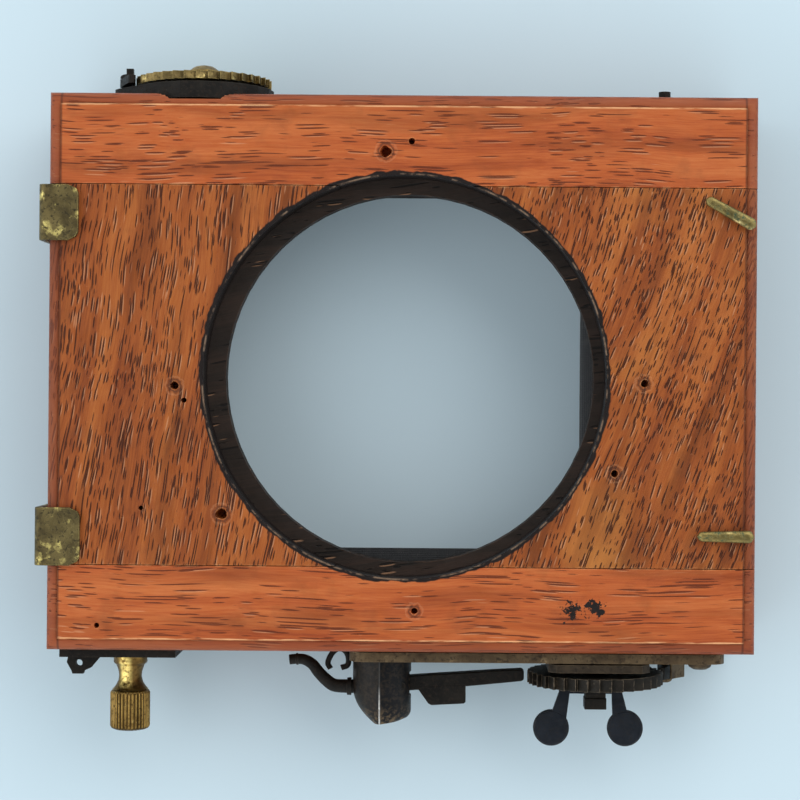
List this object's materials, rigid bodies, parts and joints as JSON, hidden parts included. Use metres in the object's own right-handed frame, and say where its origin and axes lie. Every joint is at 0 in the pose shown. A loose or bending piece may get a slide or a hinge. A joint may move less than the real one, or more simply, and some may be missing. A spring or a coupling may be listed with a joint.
{
  "type": "roller blind shutter",
  "caption": "Wooden roller-blind shutter for a plate camera: box with a round opening, cloth blind on rollers, ratchets, winding key, pneumatic release, clips and turning hooks.",
  "frame": {"origin": "bottom centre of the whole object's box, on the plane of the shutter's rear face", "axes": "+X along the box's longer side, away from the brass clips; +Y towards the tension ratchet; +Z out of the lens panel"},
  "size_m": [0.1356, 0.132, 0.0319],
  "materials": {
    "mahogany_panel": "satin varnish, open dark pores",
    "mahogany_rail": "satin varnish",
    "blackened_wood": "matt black stain",
    "patinated_brass": "aged, green in the corners",
    "worn_brass": "aged, bright where handled",
    "dull_brass": "dark and dirty",
    "black_lacquer": "gloss, worn at the end",
    "blackened_metal": "satin, worn",
    "black_blind_cloth": "matt rubbered cloth",
    "old_steel": "dull"
  },
  "bodies": {
    "root": {"air_nipple": "blackened_metal", "base_plate_screw_left": "dull_brass", "base_plate_screw_right": "dull_brass", "bottom_wall": "mahogany_rail", "cord_eye": "blackened_metal", "inner_front_board": "blackened_wood", "knob_plate": "blackened_metal", "knob_plate_screw": "blackened_metal", "left_wall": "mahogany_panel", "lever_pin": "old_steel", "lower_blind_tape": "black_blind_cloth", "lower_clip": "patinated_brass", "lower_clip_lower_screw": "patinated_brass", "lower_clip_upper_screw": "patinated_brass", "nipple_steady": "blackened_metal", "panel_bottom_rail": "mahogany_rail", "panel_centre_left": "mahogany_panel", "panel_centre_right": "mahogany_panel", "panel_top_rail": "mahogany_rail", "rear_board": "blackened_wood", "release_cylinder": "black_lacquer", "release_spring": "old_steel", "right_wall": "mahogany_panel", "roller_bottom_bush": "dull_brass", "stop_pin": "blackened_metal", "tension_bush": "dull_brass", "tension_click_screw": "blackened_metal", "tension_plate": "blackened_metal", "top_wall": "mahogany_rail", "upper_blind_tape": "black_blind_cloth", "upper_clip": "patinated_brass", "upper_clip_lower_screw": "patinated_brass", "upper_clip_upper_screw": "patinated_brass", "winder_base_plate": "dull_brass", "winder_bottom_bush": "dull_brass", "winder_bridge": "dull_brass", "winder_click_screw": "dull_brass", "winder_click_spring": "dull_brass", "winder_top_bush": "dull_brass"},
    "winder": {"winding_roller": "blackened_wood", "winder_blind_wrap": "black_blind_cloth", "winder_ratchet_wheel": "blackened_metal", "winding_key": "blackened_metal", "winding_key_block": "blackened_metal"},
    "spring_roller": {"spring_roller": "blackened_wood", "spring_blind_wrap": "black_blind_cloth"},
    "curtain": {"curtain_hem": "old_steel", "blind_curtain": "black_blind_cloth"},
    "tension": {"tension_spindle": "old_steel", "tension_ratchet_wheel": "worn_brass", "tension_hub": "worn_brass", "roller_spring": "old_steel"},
    "tension_click": {"tension_click": "blackened_metal"},
    "winder_click": {"winder_click": "blackened_metal"},
    "release_lever": {"release_lever": "blackened_metal"},
    "release_piston": {"release_piston": "old_steel"},
    "brake_knob": {"tension_brake_knob": "worn_brass"},
    "upper_hook": {"upper_hook": "patinated_brass"},
    "lower_hook": {"lower_hook": "patinated_brass"}
  },
  "joints": [
    {"name": "winder_turn", "type": "hinge", "parent": "root", "child": "winder", "pos_m": [0.0388, 0.00614, 0.015], "axis": [0, 1, 0], "range_deg": [0, 1178]},
    {"name": "spring_roller_turn", "type": "hinge", "parent": "root", "child": "spring_roller", "pos_m": [-0.0383, 0.00614, 0.015], "axis": [0, 1, 0], "range_deg": [0, 1200]},
    {"name": "curtain_slide", "type": "slide", "parent": "root", "child": "curtain", "axis": [1, 0, 0], "range_m": [0, 0.0702], "deforming": ["blind_curtain"]},
    {"name": "tension_turn", "type": "hinge", "parent": "root", "child": "tension", "pos_m": [-0.0383, 0.00614, 0.015], "axis": [0, -1, 0], "range_deg": [0, 1080], "deforming": ["roller_spring"]},
    {"name": "tension_click_lift", "type": "hinge", "parent": "root", "child": "tension_click", "pos_m": [-0.0532, 0.06164, 0.015], "axis": [0, -1, 0], "range_deg": [0, 18], "stiffness_Nm_per_rad": 0.002, "springref_deg": -5.73},
    {"name": "winder_click_lift", "type": "hinge", "parent": "root", "child": "winder_click", "pos_m": [0.0534, -0.05136, 0.0058], "axis": [0, 1, 0], "range_deg": [0, 15], "stiffness_Nm_per_rad": 0.002, "springref_deg": -5.73, "deforming": ["winder_click_spring"]},
    {"name": "release_lever_press", "type": "hinge", "parent": "root", "child": "release_lever", "pos_m": [0.0013, -0.05406, 0.015], "axis": [0, 0, 1], "range_deg": [0, 5.2], "stiffness_Nm_per_rad": 0.02, "springref_deg": -2.86, "deforming": ["release_spring"]},
    {"name": "release_piston_slide", "type": "slide", "parent": "root", "child": "release_piston", "axis": [0, -1, 0], "range_m": [0, 0.0004]},
    {"name": "brake_knob_turn", "type": "hinge", "parent": "root", "child": "brake_knob", "pos_m": [-0.0518, -0.04636, 0.015], "axis": [0, -1, 0], "continuous": true},
    {"name": "upper_hook_turn", "type": "hinge", "parent": "root", "child": "upper_hook", "pos_m": [0.066, 0.03464, 0.0303], "axis": [0, 0, 1], "continuous": true},
    {"name": "lower_hook_turn", "type": "hinge", "parent": "root", "child": "lower_hook", "pos_m": [0.066, -0.02396, 0.0303], "axis": [0, 0, 1], "continuous": true}
  ],
  "couplings": [
    {"joint": "spring_roller_turn", "follows": "winder_turn", "ratio": 1},
    {"joint": "curtain_slide", "follows": "winder_turn", "m_per_rad": 0.0034},
    {"joint": "release_piston_slide", "follows": "release_lever_press", "m_per_rad": 0.0041}
  ]
}
